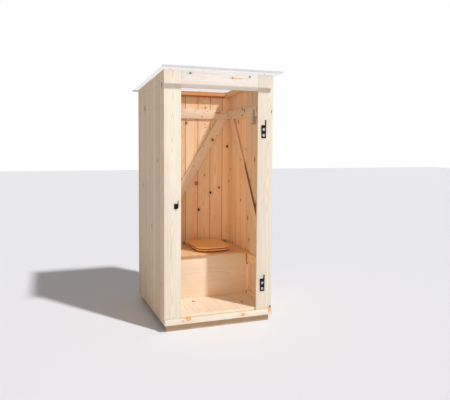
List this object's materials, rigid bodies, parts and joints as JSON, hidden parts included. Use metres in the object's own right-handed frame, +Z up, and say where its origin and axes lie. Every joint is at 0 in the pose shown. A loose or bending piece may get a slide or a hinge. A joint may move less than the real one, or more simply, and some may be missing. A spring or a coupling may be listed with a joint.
{
  "type": "wooden outhouse",
  "caption": "Tall narrow timber privy cabin with an open doorway, inner ledgers and braces, a boxed bench with a hinged seat lid and a clear lean-to roof.",
  "frame": {"origin": "middle of the bounding box's footprint, at ground level under the bearers", "axes": "+Z up, -Y out of the doorway, +X to the right as the doorway is faced"},
  "size_m": [1.092, 1.306, 2.2694],
  "materials": {
    "front_timber": "planed, untreated",
    "wall_boards": "planed, untreated",
    "rails": "planed, untreated",
    "base_timber": "planed, untreated",
    "floor_boards": "planed, untreated",
    "bench_boards": "planed, untreated",
    "seat_lacquer": "lacquered",
    "hinge_metal": "polished",
    "zinc_steel": "zinc plated",
    "black_steel": "powder coated",
    "rubber_pads": "matt",
    "clear_sheet": "clear plastic sheet",
    "roof_trim": "satin"
  },
  "bodies": {
    "cabin": {"front_bearer": "base_timber", "rear_bearer": "base_timber", "front_joist": "base_timber", "rear_joist": "base_timber", "floor_joists": "base_timber", "floor": "floor_boards", "sill": "front_timber", "right_front_board": "front_timber", "left_front_board": "front_timber", "header": "front_timber", "right_wall": "wall_boards", "left_wall": "wall_boards", "rear_wall": "wall_boards", "front_top_rail": "rails", "rear_top_rail": "rails", "right_top_rail": "rails", "left_top_rail": "rails", "rear_ledger": "rails", "right_ledger": "rails", "left_ledger": "rails", "rear_low_rail": "rails", "right_low_rail": "rails", "left_low_rail": "rails", "rear_brace": "rails", "right_brace": "rails", "left_brace": "rails", "floor_battens": "rails", "bench_top": "bench_boards", "bench_front": "bench_boards", "bench_posts": "rails", "bench_brackets": "zinc_steel", "seat_ring": "seat_lacquer", "seat_pads": "rubber_pads", "ring_straps": "hinge_metal", "hinge_posts": "hinge_metal", "lower_hinge_pin": "black_steel", "upper_hinge_pin": "black_steel", "latch_catch": "black_steel", "ledger_strap": "zinc_steel", "roof_sheet": "clear_sheet", "roof_trims": "roof_trim"},
    "seat_lid": {"seat_lid": "seat_lacquer", "lid_pads": "rubber_pads", "lid_hinges": "hinge_metal"}
  },
  "joints": [
    {"name": "lid_hinge", "type": "hinge", "parent": "cabin", "child": "seat_lid", "pos_m": [0.146, 0.467, 0.592], "axis": [-1, 0, 0], "range_deg": [0, 95]}
  ]
}
